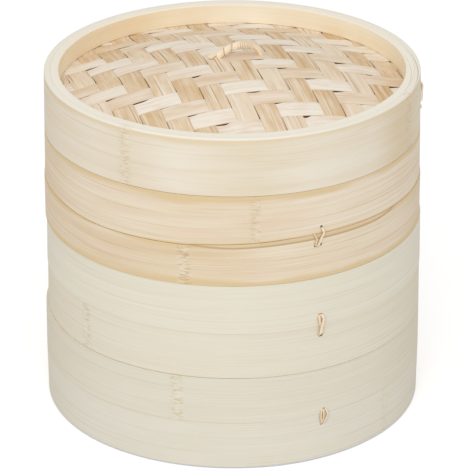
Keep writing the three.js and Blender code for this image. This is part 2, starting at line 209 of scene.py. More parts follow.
def strip(length, width, thickness, steps, edge, rounds=2, cuts=0):
    """A straight strip along X, wide across Y, with its long edges rounded: all alike, or the lower inner,
    upper inner, upper outer and lower outer one each by its own size."""
    bm = bmesh.new()
    signs = ((-1, -1), (1, -1), (1, 1), (-1, 1))
    corners = [bm.verts.new((0, a * width / 2, b * thickness / 2)) for a, b in signs]
    bm.faces.new(corners)
    edges = edge if isinstance(edge, tuple) else (edge,) * 4
    for size in sorted(set(edges)):
        alike = [c for c, e in zip(corners, edges) if e == size]
        bmesh.ops.bevel(bm, geom=alike, offset=size, segments=rounds, profile=0.5, affect="VERTICES",
                        material=-1)
    if cuts:
        wide = [e for e in bm.edges
                if e.calc_length() > 0.5 * width and e.verts[0].co.z * e.verts[1].co.z > 0]
        bmesh.ops.subdivide_edges(bm, edges=wide, cuts=cuts)
    bmesh.ops.spin(bm, geom=bm.verts[:] + bm.edges[:] + bm.faces[:], cent=(0, 0, 0), axis=(1, 0, 0),
                   dvec=(length / steps, 0, 0), angle=0, steps=steps, use_merge=False)
    return bm


def lay_fibre(bm, seed, half_width, marks=(), tint=None, rims=(0.0, 0.0), length=1.0, ring=None, shade_share=None):
    """Keeps, on the straight strip, how its fibre runs, how near its rims and its nodes are, its tone and
    tint, how strong the nearest node is, and the share of painted shade where other strips or the wall
    cover it, which on the top tier's lower band is the share of the slit's painted ledge."""
    fibre = bm.loops.layers.float_vector.new("fibre")
    rim, mark, shade, node_and_shade = (bm.loops.layers.uv.new(name) for name in ("rim", "mark", "shade", "node_and_shade"))
    dice = random.Random(seed)
    start, tone = dice.uniform(0, 400), dice.uniform(-1, 1)
    places = (list(marks) + [NO_MARK, NO_MARK])[:2]
    for face in bm.faces:
        for loop in face.loops:
            x, y, z = loop.vert.co
            far = (half_width + y, half_width - y)
            if ring:
                first, middle = ring
                angle = first + x / middle
                loop[fibre] = (middle * math.cos(angle), middle * math.sin(angle), y + z + start)
            else:
                loop[fibre] = (x * length + start, 0.0, y + z + start)
            loop[rim].uv = [f / w if w else NO_RIM for f, w in zip(far, rims)]
            loop[mark].uv = [max(-MARK_REACH, min(MARK_REACH, x - m)) for m, _ in places]
            loop[shade].uv = (tone, tint(x) if tint else 0.0)
            nearest = min(places, key=lambda place: abs(x - place[0]))
            # The second value is the share of painted shade, standing in for the shade where the strip is
            # covered.
            loop[node_and_shade].uv = (nearest[1], shade_share(x, y) if shade_share else 0.0)


def bend(bm, place):
    """Moves each vertex of a straight strip to its place on the bent one."""
    for vert in bm.verts:
        vert.co = place(*vert.co)


def joined(parts):
    """One mesh out of several."""
    whole = bmesh.new()
    for part in parts:
        mesh = bpy.data.meshes.new("part")
        part.to_mesh(mesh)
        part.free()
        whole.from_mesh(mesh)
        bpy.data.meshes.remove(mesh)
    return whole


def bore(piece, shape):
    """Cuts a hole through a piece."""
    mesh = bpy.data.meshes.new("hole")
    shape.to_mesh(mesh)
    tool = bpy.data.objects.new("hole", mesh)
    bpy.context.scene.collection.objects.link(tool)
    step = piece.modifiers.new("hole", "BOOLEAN")
    step.operation, step.solver, step.object = "DIFFERENCE", "EXACT", tool
    view = bpy.context.evaluated_depsgraph_get()
    cut = bpy.data.meshes.new_from_object(piece.evaluated_get(view))
    piece.modifiers.remove(step)
    piece.data = cut
    bpy.data.objects.remove(tool)


def finished(bm, name, body, slot, nodes, holes=()):
    """Turns a shape into a piece of the steamer that rides on its body."""
    bmesh.ops.recalc_face_normals(bm, faces=bm.faces)
    bmesh.ops.scale(bm, vec=(MM, MM, MM), verts=bm.verts)
    mesh = bpy.data.meshes.new(name)
    bm.to_mesh(mesh)
    bm.free()
    piece = bpy.data.objects.new(name, mesh)
    bpy.context.scene.collection.objects.link(piece)
    for hole in holes:
        bore(piece, hole)
    mesh = piece.data
    mesh.shade_smooth()
    mesh.set_sharp_from_angle(angle=SHARP_ANGLE)
    mesh.materials.clear()
    mesh.materials.append(FINISH[slot])
    piece.modifiers.new("even shading", "WEIGHTED_NORMAL").keep_sharp = True
    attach(piece, body)
    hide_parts(*nodes)
    return piece


# Rings: strips bent round, one end tapered over the other

def bent_ring(node, body, slot, inner, outer, edge, seed, marks=(), tint=None, holes=(), rims=(0.0, 0.0),
              rise=(0.0, 0.0), grow=(0.0, 0.0), lip=None, lift=None, sag=None, shoulder=None, ledge=None):
    """A band or hoop. Its lower and upper edge are moved up by rise and out by grow, and above the level of
    lip it is thinner. By degrees from the front, lift raises its upper edge, sag lowers its lower one,
    shoulder says how far the upper one is rounded off, and ledge how far the slit's painted ledge, partly
    painted shade, shows there."""
    bottom, top = levels(node)
    bottom, top = bottom + rise[0], top + rise[1]
    tall, thick = top - bottom, outer - inner
    turns = 2 * math.pi + LAP
    middle = (inner + outer) / 2
    first = plan(SEWN[body]) - LAP / 2

    def length_to(degrees):
        return ((plan(degrees) - first) % (2 * math.pi)) * middle

    def degrees_at(x):
        return from_plan(first + x / middle)

    bm = strip(turns * middle, tall, thick, RING_STEPS, edge, 3 if shoulder else 2, 4 if lip else 0)
    lay_fibre(bm, seed, tall / 2, [(length_to(m), strength) for m, strength in marks],
              tint and (lambda x: tint(degrees_at(x))), rims, ring=(first, middle),
              shade_share=ledge and (lambda x, y: ledge(degrees_at(x))))

    def place(x, y, z):
        turn = x / middle
        angle = first + turn
        degrees = from_plan(angle)
        low, high = inner, outer
        if turn < LAP:
            low = mix(outer - LAP_TIP, inner + LAP_TIP + LAP_GAP, turn / LAP)
        if turn > 2 * math.pi:
            high = mix(outer - LAP_TIP - LAP_GAP, inner + LAP_TIP, (turn - 2 * math.pi) / LAP)
        share = z / thick + 0.5
        radius = mix(low, high, share)
        up = y / tall + 0.5
        height = bottom + up * tall
        if lift:
            height += lift(degrees) * max(0.0, 2 * up - 1)
        if sag:
            height -= sag(degrees) * max(0.0, 1 - 2 * up)
        if shoulder and share > SHOULDER_OUT and up > SHOULDER_UP:
            radius = mix(high, radius, shoulder(degrees))
        if lip and height > lip and share > 0.5:
            radius = min(radius, LIP_OUTER)
        for m, _ in marks:
            away = (angle - plan(m) + math.pi) % (2 * math.pi) - math.pi
            radius += NODE_SWELL * math.exp(-(away * middle / NODE_LENGTH) ** 2) * (share > 0.5)
        radius += out_of_round(angle, len(body)) + mix(grow[0], grow[1], up)
        return Vector((radius * math.cos(angle) + SLIDE[body], radius * math.sin(angle), height))

    bend(bm, place)
    return finished(bm, node + "_bent", body, slot, [node], holes)


def stitch_holes(node, body, places):
    """Rounded holes through the wall, each across and up from a stitch's middle, with width and height."""
    angle = plan(SEWN[body])
    middle = sum(levels(node)) / 2
    shapes = []
    for across, up, width, tall in places:
        bm = strip(BORE_LENGTH, width, tall, 1, BORE_EDGE)

        def place(x, y, z):
            radius = BORE_START + x
            return Vector((
                radius * math.cos(angle) - (y + across) * math.sin(angle) + SLIDE[body],
                radius * math.sin(angle) + (y + across) * math.cos(angle), middle + up + z)) * MM

        bend(bm, place)
        bmesh.ops.recalc_face_normals(bm, faces=bm.faces)
        shapes.append(bm)
    return shapes


# Strands of cane along a path

def smooth_path(points, steps=8):
    """A smooth line through the points."""
    ends = [points[0] * 2 - points[1]] + list(points) + [points[-1] * 2 - points[-2]]
    line = []
    for a, b, c, d in zip(ends, ends[1:], ends[2:], ends[3:]):
        for k in range(steps):
            t = k / steps
            line.append(0.5 * ((2 * b) + (c - a) * t + (2 * a - 5 * b + 4 * c - d) * t ** 2
                               + (3 * b - a - 3 * c + d) * t ** 3))
    line.append(points[-1])
    return line


def strand(points, width, thickness, side, seed, taper=0.0, rim=0.35, paler=0.0, hidden=None):
    """A flat strand of cane that keeps its width along one direction."""
    line = smooth_path(points)
    steps = len(line) - 1
    length = sum((b - a).length for a, b in zip(line, line[1:]))
    bm = strip(length, width, thickness, steps, thickness * STRAND_EDGE)

    def step_at(x):
        return min(steps, round(x / length * steps))

    # Painted shade on the strand where hidden says it lies inside the wall.
    lay_fibre(bm, seed, width / 2, tint=lambda x: -paler, rims=(rim, rim),
              shade_share=hidden and (lambda x, y: hidden(line[step_at(x)])))

    def place(x, y, z):
        k = step_at(x)
        along = (line[min(k + 1, steps)] - line[max(k - 1, 0)]).normalized()
        up = side.cross(along).normalized()
        thin = 1 - taper * k / steps
        return line[k] + along.cross(up).normalized() * (-y * thin) + up * (z * thin)

    bend(bm, place)
    return bm


def sewn(node, body, outer, seed, runs, rim=0.35):
    """Strands through the wall. Each run is how far it stands proud, its width, how pale it is, and the
    places it passes outside, across and up from the stitch's middle, from its lower end to its upper one."""
    angle = plan(SEWN[body])
    out = Vector((math.cos(angle), math.sin(angle), 0))
    side = Vector((-math.sin(angle), math.cos(angle), 0))
    middle = Vector((SLIDE[body], 0, sum(levels(node)) / 2))
    back = HOOP_INNER - STITCH_BEHIND

    def at(radius, across, up):
        return middle + out * radius + side * across + Vector((0, 0, up))

    # Painted shade: how far a point lies inside the wall, where the strand is darkened as in the shade of its
    # hole.
    def inside(point):
        return soft_step(outer - 0.1, outer - 1.1, (point - middle).xy.length)

    def tail(across, up, hand):
        """From the outer face through the wall, and behind the hoop towards the middle of the stitch."""
        return [
            at(outer - 0.7, across, up),
            at(outer - 3.0, across * 0.9, up),
            at(back + 1.4, across * 0.5, up + hand * 0.1),
            at(back, across * 0.3, up + hand * 1.1),
            at(back, across * 0.3, up + hand * 2.6),
        ]

    parts = []
    for k, (proud, width, paler, places) in enumerate(runs):
        face = outer + STITCH_THICKNESS / 2 + proud
        points = tail(*places[0], 1)[::-1]
        points += [at(face, across, up) for across, up in places[1:-1]]
        points += tail(*places[-1], -1)
        parts.append(strand(points, width, STITCH_THICKNESS, side, seed + k, rim=rim, paler=paler,
                            hidden=inside))
    return finished(joined(parts), node + "_cane", body, "cane", [node])


# Finishes

def linear(colour):
    """A colour of 0 to 255 in each channel, as a shader takes it."""
    shares = [level / 255 for level in colour]
    return (*(s / 12.92 if s <= 0.04045 else ((s + 0.055) / 1.055) ** 2.4 for s in shares), 1.0)


class Finish:
    """A material put together from named steps."""

    def __init__(self, name):
        self.material = bpy.data.materials.new(name)
        self.material.use_nodes = True
        self.tree = self.material.node_tree
        self.shader = self.tree.nodes["Principled BSDF"]

    def add(self, kind, *inputs, **settings):
        step = self.tree.nodes.new(kind)
        for key, value in settings.items():
            setattr(step, key, value)
        for key, value in enumerate(inputs):
            self.feed(step.inputs[key], value)
        return step

    def feed(self, socket, value):
        if value is None:
            return
        if isinstance(value, bpy.types.NodeSocket):
            self.tree.links.new(value, socket)
        else:
            socket.default_value = value

    def math(self, operation, a, b=None, clamp=False):
        return self.add("ShaderNodeMath", a, b, operation=operation, use_clamp=clamp).outputs[0]

    def laid(self, name):
        """The two values that are laid on a strip under a name."""
        pair = self.add("ShaderNodeSeparateXYZ", self.add("ShaderNodeUVMap", uv_map=name).outputs[0])
        return pair.outputs[0], pair.outputs[1]

    def grain(self, fibre, along, across, detail):
        """Fine lines that run along the fibre."""
        stretch = self.add("ShaderNodeMapping", fibre)
        stretch.inputs["Scale"].default_value = (along, along, across)
        lines = self.add("ShaderNodeTexNoise", noise_dimensions="3D")
        self.feed(lines.inputs["Vector"], stretch.outputs[0])
        lines.inputs["Scale"].default_value = 1.0
        lines.inputs["Detail"].default_value = detail
        lines.inputs["Roughness"].default_value = 0.6
        return lines.outputs["Fac"]

    def between(self, value, low, high, out_low=0.0, out_high=1.0):
        step = self.add("ShaderNodeMapRange", value, low, high, out_low, out_high)
        step.interpolation_type = "SMOOTHSTEP"
        return step.outputs[0]

    def tinted(self, share, colour, tint):
        step = self.tree.nodes.new("ShaderNodeMix")
        step.data_type = "RGBA"
        self.feed(step.inputs[0], share)
        self.feed(step.inputs[6], colour)
        self.feed(step.inputs[7], tint)
        return step.outputs[2]


class Bamboo(Finish):
    """Split bamboo: long fibres, honey patches, tinted rims and the dashes at a node."""

    BLUSH = linear((240, 208, 188))
    GLEAM = linear((253, 246, 236))
    PALE_DASH = linear((252, 246, 232))

    def __init__(self, name, pale, honey, fibre, rim, hair=0.3, patches=0.35, tones=0.3, roughness=0.5,
                 mark=0.5, gleam=0.1, blush=0.0, patch_run=0.012, rim_share=0.85, fineness=1.0,
                 mark_colour=(200, 172, 126), top=None, foot=None, covered_shade=None, ledge=None, ledge_line=None):
        super().__init__(name)
        self.fibre = self.add("ShaderNodeAttribute", attribute_name="fibre").outputs["Vector"]
        self.low_rim, self.high_rim = self.laid("rim")
        self.tone, self.tint = self.laid("shade")
        self.node_strength, self.shade_share = self.laid("node_and_shade")
        self.lines = self.grain(self.fibre, along=0.010, across=0.95 * fineness, detail=3.0)
        self.fine = self.grain(self.fibre, along=0.030, across=3.4, detail=2.0)

        self.patches(linear(pale), linear(honey), patches, tones, blush, patch_run)
        self.fibres(linear(fibre), hair, gleam, fineness)
        self.rims(linear(rim), rim_share, top, foot)
        # A painted ledge where the slit shows, partly the cut edge's honey and partly painted shade.
        if ledge:
            self.ledge(linear(ledge), linear(ledge_line))
        dash = self.node_dashes(linear(mark_colour), mark)
        # Painted shade where a strip lies under other strips or a strand lies inside the wall.
        if covered_shade:
            self.colour = self.tinted(self.shade_share, self.colour, linear(covered_shade))
        self.surface(roughness, dash)

    def patches(self, pale, honey, most, tones, blush, run):
        """Pale bamboo with broad honey patches, and a blush on some kinds."""
        broad = self.grain(self.fibre, along=run, across=0.16, detail=2.0)
        lean = self.math("ADD", self.math("MULTIPLY", self.tone, tones), self.tint)
        share = self.math("ADD", self.between(broad, 0.35, 0.7, 0.0, most), lean, clamp=True)
        self.colour = self.tinted(share, pale, honey)
        if blush:
            warm = self.grain(self.fibre, along=run * 1.7, across=0.23, detail=1.0)
            self.colour = self.tinted(self.between(warm, 0.48, 0.7, 0.0, blush), self.colour, self.BLUSH)

    def fibres(self, fibre_colour, hair, gleam, fineness):
        """Light streaks, and darker threads, finer threads and flecks over them."""
        light = self.grain(self.fibre, along=0.009, across=0.62 * fineness, detail=2.0)
        flecks = self.grain(self.fibre, along=0.22, across=3.2, detail=1.0)
        self.colour = self.tinted(self.between(light, 0.52, 0.7, 0.0, gleam), self.colour, self.GLEAM)
        thread = self.math("MULTIPLY", self.between(self.lines, 0.52, 0.72), hair)
        finer = self.math("MULTIPLY", self.between(self.fine, 0.55, 0.75), hair * 0.45)
        fleck = self.math("MULTIPLY", self.between(flecks, 0.66, 0.78), hair * 0.5)
        share = self.math("ADD", self.math("ADD", thread, finer), fleck, clamp=True)
        self.colour = self.tinted(share, self.colour, fibre_colour)

    def rims(self, rim_colour, most, top, foot):
        """A tint of uneven width along the rims. On some kinds the top edge is paler, which is painted light,
        and on some the foot is greyer, which is a painted contact shadow.
        """
        uneven = self.grain(self.fibre, along=0.022, across=0.05, detail=1.0)
        near = self.math("ADD", self.math("MINIMUM", self.low_rim, self.high_rim),
                         self.math("MULTIPLY", self.math("SUBTRACT", uneven, 0.5), 1.6))
        self.colour = self.tinted(self.between(near, 0.25, 1.0, most, 0.0), self.colour, rim_colour)
        # Painted light: the top edge made paler, as the light falls on it.
        if top:
            share = self.between(self.high_rim, 0.12, 0.3, 1.0, 0.0)
            self.colour = self.tinted(share, self.colour, linear(top))
        # Painted shade: a grey contact shadow along the lowest edge.
        if foot:
            share = self.between(self.low_rim, 0.7, 1.0, 1.0, 0.0)
            self.colour = self.tinted(share, self.colour, linear(foot))

    def ledge(self, ledge_colour, line_colour):
        """A painted ledge along the upper edge where the slit shows: the honey of the cut edge with painted
        shade from the upper band over it, and a darker painted line at its foot.
        """
        shows = self.between(self.shade_share, 0.0, 0.3)
        past = self.math("SUBTRACT", self.high_rim, self.math("MULTIPLY", self.shade_share, 0.72))
        above = self.math("MULTIPLY", self.between(past, -0.12, 0.0, 0.9, 0.0), shows)
        self.colour = self.tinted(above, self.colour, ledge_colour)
        foot = self.between(self.math("ABSOLUTE", past), 0.08, 0.26, 0.95, 0.0)
        self.colour = self.tinted(self.math("MULTIPLY", foot, shows), self.colour, line_colour)

    def node_dashes(self, mark_colour, mark):
        """A ragged column of dashes, dark and pale, at each node. Gives the dark ones."""
        ragged = self.grain(self.fibre, along=0.004, across=0.35, detail=1.0)
        jag = self.math("MULTIPLY", self.math("SUBTRACT", ragged, 0.5), 3.0)
        away = [self.math("ABSOLUTE", self.math("ADD", far, jag)) for far in self.laid("mark")]
        column = self.between(self.math("MINIMUM", *away), 1.0, 5.2, 1.0, 0.0)
        column = self.math("MULTIPLY", column, self.node_strength)
        dashes = self.grain(self.fibre, along=0.28, across=1.2, detail=2.0)
        dark = self.math("MULTIPLY", self.between(dashes, 0.5, 0.64, 0.0, mark), column)
        pale = self.math("MULTIPLY", self.between(dashes, 0.36, 0.48, 0.7 * mark, 0.0), column)
        smudge = self.math("MULTIPLY", column, 0.14 * mark)
        self.colour = self.tinted(pale, self.colour, self.PALE_DASH)
        self.colour = self.tinted(self.math("MAXIMUM", smudge, dark), self.colour, mark_colour)
        return dark

    def surface(self, roughness, dash):
        """Satin, rougher on the threads, with the fibres standing up a little and the dashes cut in."""
        self.feed(self.shader.inputs["Base Color"], self.colour)
        rough = self.between(self.lines, 0.3, 0.8, roughness - 0.06, roughness + 0.12)
        self.feed(self.shader.inputs["Roughness"], rough)
        self.shader.inputs["Specular IOR Level"].default_value = 0.35
        threads, finer = self.math("MULTIPLY", self.lines, 0.7), self.math("MULTIPLY", self.fine, 0.3)
        relief = self.math("ADD", threads, finer)
        relief = self.math("SUBTRACT", relief, self.math("MULTIPLY", dash, 0.5))
        bump = self.add("ShaderNodeBump")
        bump.inputs["Strength"].default_value = 0.35
        bump.inputs["Distance"].default_value = 0.00012
        self.feed(bump.inputs["Height"], relief)
        self.feed(self.shader.inputs["Normal"], bump.outputs[0])


# For each kind of strip: its colours, and how much there is of hair-thin fibres, honey patches, tone from
# strip to strip, dashes at the nodes and the rest
BAMBOO = {
    # The lid band's paler top is painted light on its top edge.
    "lid_band": dict(
        pale=(242, 233, 215), honey=(230, 210, 176), fibre=(218, 198, 164), rim=(233, 213, 178),
        hair=0.4, patches=0.3, tones=0.0, mark=0.6, gleam=0.2, fineness=1.4, top=(246, 239, 223)),
    "lid_inner_band": dict(
        pale=(252, 243, 222), honey=(245, 223, 182), fibre=(230, 204, 164), rim=(250, 243, 228),
        hair=0.18, patches=0.3, tones=0.0),
    # The ledge colour is the cut edge's honey darkened with painted shade from the slit; the ledge line is a
    # darker painted line.
    "tier_top_band": dict(
        pale=(241, 227, 203), honey=(228, 203, 164), fibre=(212, 184, 144), rim=(227, 199, 150),
        hair=0.6, patches=0.4, tones=0.05, mark=0.75, gleam=0.3, blush=0.25, rim_share=0.8, fineness=1.6,
        ledge=(224, 200, 162), ledge_line=(200, 170, 126)),
    "tier_middle_band": dict(
        pale=(237, 231, 213), honey=(230, 216, 188), fibre=(212, 198, 170), rim=(224, 196, 154),
        hair=0.3, patches=0.15, tones=0.0, mark=0.7, gleam=0.2, fineness=1.5),
    # The bottom band's grey foot is a painted contact shadow along its lowest edge.
    "tier_bottom_band": dict(
        pale=(234, 229, 214), honey=(226, 212, 184), fibre=(208, 194, 166), rim=(222, 194, 152),
        hair=0.38, patches=0.15, tones=0.0, mark=0.75, gleam=0.2, fineness=1.5, foot=(212, 212, 216),
        mark_colour=(208, 190, 126)),
    "inner_hoop": dict(
        pale=(238, 217, 180), honey=(222, 192, 146), fibre=(190, 154, 106), rim=(206, 172, 122),
        hair=0.35, patches=0.5, tones=0.15),
    "slat": dict(
        pale=(236, 215, 176), honey=(218, 186, 138), fibre=(184, 146, 98), rim=(200, 164, 112),
        hair=0.4, patches=0.5, tones=0.3),
    # The woven strips' covered colours are painted shade on the parts under other strips, seen through the
    # slits.
    "weft_strip": dict(
        pale=(250, 241, 226), honey=(230, 202, 165), fibre=(204, 170, 132), rim=(190, 152, 114),
        hair=0.35, patches=0.6, tones=0.55, gleam=0.25, blush=0.3, patch_run=0.035, rim_share=0.35,
        covered_shade=(142, 98, 62)),
    "warp_strip": dict(
        pale=(243, 225, 198), honey=(222, 189, 141), fibre=(176, 130, 84), rim=(172, 130, 90),
        hair=0.75, patches=0.75, tones=0.65, gleam=0.5, blush=0.3, patch_run=0.035, rim_share=0.35,
        covered_shade=(104, 68, 42)),
    # The lining's dark brown is painted shade, for the shade seen through the slits of the weave.
    "lining": dict(
        pale=(132, 96, 58), honey=(112, 76, 42), fibre=(84, 54, 30), rim=(100, 68, 38),
        hair=0.4, patches=0.5, tones=0.0, roughness=0.7, gleam=0.0),
    # The cane's covered colour is painted shade on the strands where they go into the wall.
    "cane": dict(
        pale=(252, 238, 220), honey=(243, 219, 174), fibre=(212, 178, 134), rim=(208, 174, 130),
        hair=0.4, patches=0.3, tones=0.2, covered_shade=(112, 78, 50)),
}
FINISH = {slot: Bamboo(slot, **look).material for slot, look in BAMBOO.items()}


# Honey tints round the bands, by degrees from the front

def honey_sides(degrees, most, start=25.0, end=72.0):
    """Comes in towards the sides and the back."""
    return most * soft_step(start, end, abs(from_front(degrees)))


def honey_front(degrees):
    """The top tier's lower band, on the left of its front and at its right end."""
    turned = from_front(degrees)
    right = soft_step(58.0, 74.0, turned) * soft_step(150.0, 100.0, turned)
    return 0.05 + 0.42 * (1 - soft_step(34.0, 52.0, abs(turned + 38))) + 0.3 * right


def honey_upper(degrees):
    """The top tier's upper band, on its left and a little at its front, with a paler stretch between the
    stitch and its right end."""
    turned = from_front(degrees)
    left = soft_step(-50.0, -70.0, turned) * soft_step(-160.0, -110.0, turned)
    paler = soft_step(18.0, 32.0, turned) * soft_step(62.0, 52.0, turned)
    return 0.4 * left + 0.22 * (1 - soft_step(8.0, 25.0, abs(turned + 2))) - 0.3 * paler


def honey_grey(degrees):
    """The greyer bands of the two lower tiers."""
    return 0.14 + honey_sides(degrees, 0.36, 35.0, 80.0)


def honey_foot(degrees):
    """The lowest band."""
    return honey_sides(degrees, 0.22, 45.0, 80.0)


def honey_lid(degrees):
    """The lid's outer band, towards the sides and at three places near its nodes and its front."""
    turned = from_front(degrees)
    beside = sum(most * (1 - soft_step(0.0, wide, abs(turned - place)))
                 for place, wide, most in ((-31.0, 15.0, 0.35), (5.0, 22.0, 0.35), (62.0, 17.0, 0.6)))
    return honey_sides(degrees, 0.3) + beside


def honey_back(degrees):
    """The lid's inner band towards the back, stronger on the left."""
    left, right = (abs(from_front(degrees + turn)) for turn in (125, -125))
    return 0.6 * (1 - soft_step(15.0, 60.0, left)) + 0.25 * (1 - soft_step(20.0, 60.0, right))


# Slit of the top tier, by degrees from the front

def slit_sag(degrees):
    """How far the upper band hangs down into the slit."""
    turned = from_front(degrees)
    for (start, low), (end, high) in zip(SLIT_SAG, SLIT_SAG[1:]):
        if turned <= end:
            return mix(low, high, (turned - start) / (end - start))


def closing_slit(degrees):
    """How far the lower band rises to meet the upper one."""
    angle = math.radians(degrees)
    uneven = 0.08 * noise.noise(Vector((9 * math.cos(angle), 9 * math.sin(angle), 5.0)))
    return SLIT - SLIT_LINE - slit_sag(degrees) + uneven


def slit_open(degrees):
    """How far the slit shows, with its painted ledge, which is partly painted shade."""
    turned = from_front(degrees)
    return soft_step(-16.0, 1.0, turned) * soft_step(60.0, 46.0, turned)


def slit_shoulder(degrees):
    """How far the lower band's upper edge is rounded off: half of it along the open stretch, else little."""
    return 0.15 + 0.35 * slit_open(degrees)


# Tiers

# For each tier, how far its bands are drawn together at the seam and how that is rounded. For its lower and
# its upper band: its nodes, in degrees from the front, with how strong they are; its honey tint; how wide its
# lower and upper rims are tinted; how much larger than the rest it was bent, below and above; and what the
# slit does to it. Then the holes of the stitch, across and up from its middle, with their width and height
TIERS = {
    "tier_bottom": dict(
        seed=11, draw=0.17, seam_round=SEAM_EDGE,
        lower=dict(marks=((53.0, 0.35),), tint=honey_foot, rims=(1.1, 0.0), grow=(0.6, 1.0)),
        upper=dict(marks=((-16.5, 0.8),), tint=honey_grey, rims=(0.0, 0.0), grow=(1.0, 0.85)),
        holes=((-1.3, -6.0, 1.7, 1.1), (0.2, -5.0, 1.5, 1.6), (0.0, 2.6, 1.9, 1.0))),
    "tier_middle": dict(
        seed=21, draw=0.17, seam_round=SEAM_EDGE,
        lower=dict(marks=((-50.0, 0.7),), tint=honey_grey, rims=(0.15, 0.0), grow=(0.25, -0.05)),
        upper=dict(rims=(0.0, 0.0), grow=(0.25, -0.05)),
        holes=((0.4, -5.6, 2.4, 1.5), (1.5, -4.7, 1.5, 1.5), (0.1, 6.2, 2.6, 1.5))),
    "tier_top": dict(
        seed=31, draw=0.0, seam_round=SHOULDER_EDGE,
        lower=dict(marks=((-14.0, 1.0),), tint=honey_front, rims=(4.0, 2.6), grow=(0.1, 0.1),
                   lift=closing_slit, shoulder=slit_shoulder, ledge=slit_open),
        upper=dict(marks=((7.0, 0.55),), tint=honey_upper, rims=(1.2, 4.2), grow=(-0.3, -0.55), sag=slit_sag),
        holes=((-1.9, -5.2, 2.2, 1.2), (0.6, -4.7, 1.8, 1.5), (1.35, 4.8, 1.4, 1.5))),
}


def slat_floor(tier, seed):
    """Slats side by side, over two battens."""
    node = tier + "_slat_floor"
    top = levels(node)[1]
    parts = []
    for k in range(SLATS):
        across = (k - (SLATS - 1) / 2) * SLAT_PITCH
        bm = strip(2.0, SLAT_WIDTH, SLAT_THICKNESS, SLAT_STEPS, SLAT_EDGE)
        lay_fibre(bm, seed + k, SLAT_WIDTH / 2, rims=(SLAT_RIM, SLAT_RIM), length=MAT_RADIUS)

        def place(x, y, z):
            reach = math.sqrt(MAT_RADIUS ** 2 - (across + y) ** 2)
            return Vector(((x - 1) * reach + SLIDE[tier], across + y, top - SLAT_THICKNESS / 2 + z))

        bend(bm, place)
        parts.append(bm)
    for hand in (-1, 1):
        bm = strip(2.0, BATTEN_WIDTH, BATTEN_THICKNESS, SLAT_STEPS, BATTEN_EDGE)
        lay_fibre(bm, seed + 40 + hand, BATTEN_WIDTH / 2, length=MAT_RADIUS)

        def place(x, y, z):
            far = hand * BATTEN_SPREAD / 2 + y
            reach = math.sqrt((HOOP_INNER - BATTEN_GAP) ** 2 - far ** 2)
            low = top - SLAT_THICKNESS + BATTEN_LET_IN - BATTEN_THICKNESS / 2
            return Vector((far + SLIDE[tier], (x - 1) * reach, low + z))

        bend(bm, place)
        parts.append(bm)
    return finished(joined(parts), node + "_split", tier, "slat", [node])


def tier_bands(tier, made):
    """Both bands of a tier, its inner hoop with the lip, and the seat hoop."""
    seed, draw, slot = made["seed"], made["draw"], tier + "_band"
    holes = stitch_holes(tier + "_stitch", tier, made["holes"])
    lowest = tier == "tier_bottom"
    foot = FOOT_EDGE if lowest else BAND_EDGE
    seam = SEAM_EDGE if draw else BAND_EDGE
    lower_edges = (foot, seam, made["seam_round"], foot)
    upper_edges = (seam, BAND_EDGE, BAND_EDGE, seam)
    bent_ring(tier + "_lower_band", tier, slot, BAND_INNER, BAND_OUTER, lower_edges, seed, holes=holes,
              rise=(0.0 if lowest else -BAND_OVERLAP, draw), **made["lower"])
    bent_ring(tier + "_upper_band", tier, slot, BAND_INNER, BAND_OUTER, upper_edges, seed + 1, holes=holes,
              rise=(-draw, BAND_OVERLAP), **made["upper"])
    lip = levels(tier + "_upper_band")[1] + LIP_START
    bent_ring(tier + "_inner_hoop", tier, "inner_hoop", HOOP_INNER, HOOP_OUTER, HOOP_EDGE, seed + 2,
              holes=holes, lip=lip)
    bent_ring(tier + "_seat_hoop", tier, "inner_hoop", HOOP_INNER, HOOP_OUTER, HOOP_EDGE, seed + 3)


for tier, made in TIERS.items():
    tier_bands(tier, made)
    slat_floor(tier, made["seed"] + 4)

# A zig-zag over the open slit, a twisted loop and a knot of three strands
sewn("tier_top_stitch", "tier_top", BAND_OUTER + 0.1, 61, [
    (-0.1, 1.1, -0.6, [(-2.1, -5.0), (-2.3, -4.0), (-1.8, -2.0), (-2.1, -0.1), (-2.7, 0.9), (-2.9, 1.5)]),
    (0.2, 1.35, -0.4, [(-2.0, -5.2), (-1.2, -4.7), (-0.2, -3.3), (0.6, -1.3), (1.6, 0.4), (2.1, 1.7),
                       (1.8, 2.9), (1.5, 4.2)]),
])
sewn("tier_middle_stitch", "tier_middle", BAND_OUTER + 0.2, 64, [
    (0.0, 1.8, -0.5, [(1.4, -5.1), (1.3, -3.6), (0.7, -1.6), (0.0, 0.4), (-0.5, 2.4), (-0.7, 4.4),
                      (-0.4, 6.2)]),
    (0.6, 1.7, -0.1, [(-0.6, -5.7), (-0.4, -3.9), (0.2, -1.7), (0.7, 0.3), (1.2, 2.2), (1.5, 3.8),
                      (1.1, 5.1), (0.4, 6.2)]),
])
sewn("tier_bottom_stitch", "tier_bottom", BAND_OUTER + 1.0, 67, [
    (0.0, 1.2, -0.3, [(-1.6, -5.9), (-1.7, -4.2), (-1.9, -2.0), (-1.8, 0.4), (-0.8, 2.5)]),
    (0.0, 1.2, -0.1, [(-1.2, -6.0), (-0.9, -4.4), (-0.4, -2.4), (-0.2, -0.4), (-0.3, 2.6)]),
    (0.5, 1.2, 0.1, [(-1.5, -6.1), (0.0, -4.1), (1.4, -1.9), (1.8, 0.1), (0.9, 2.5)]),
])


# Lid: its bands and the two stitches of its lap

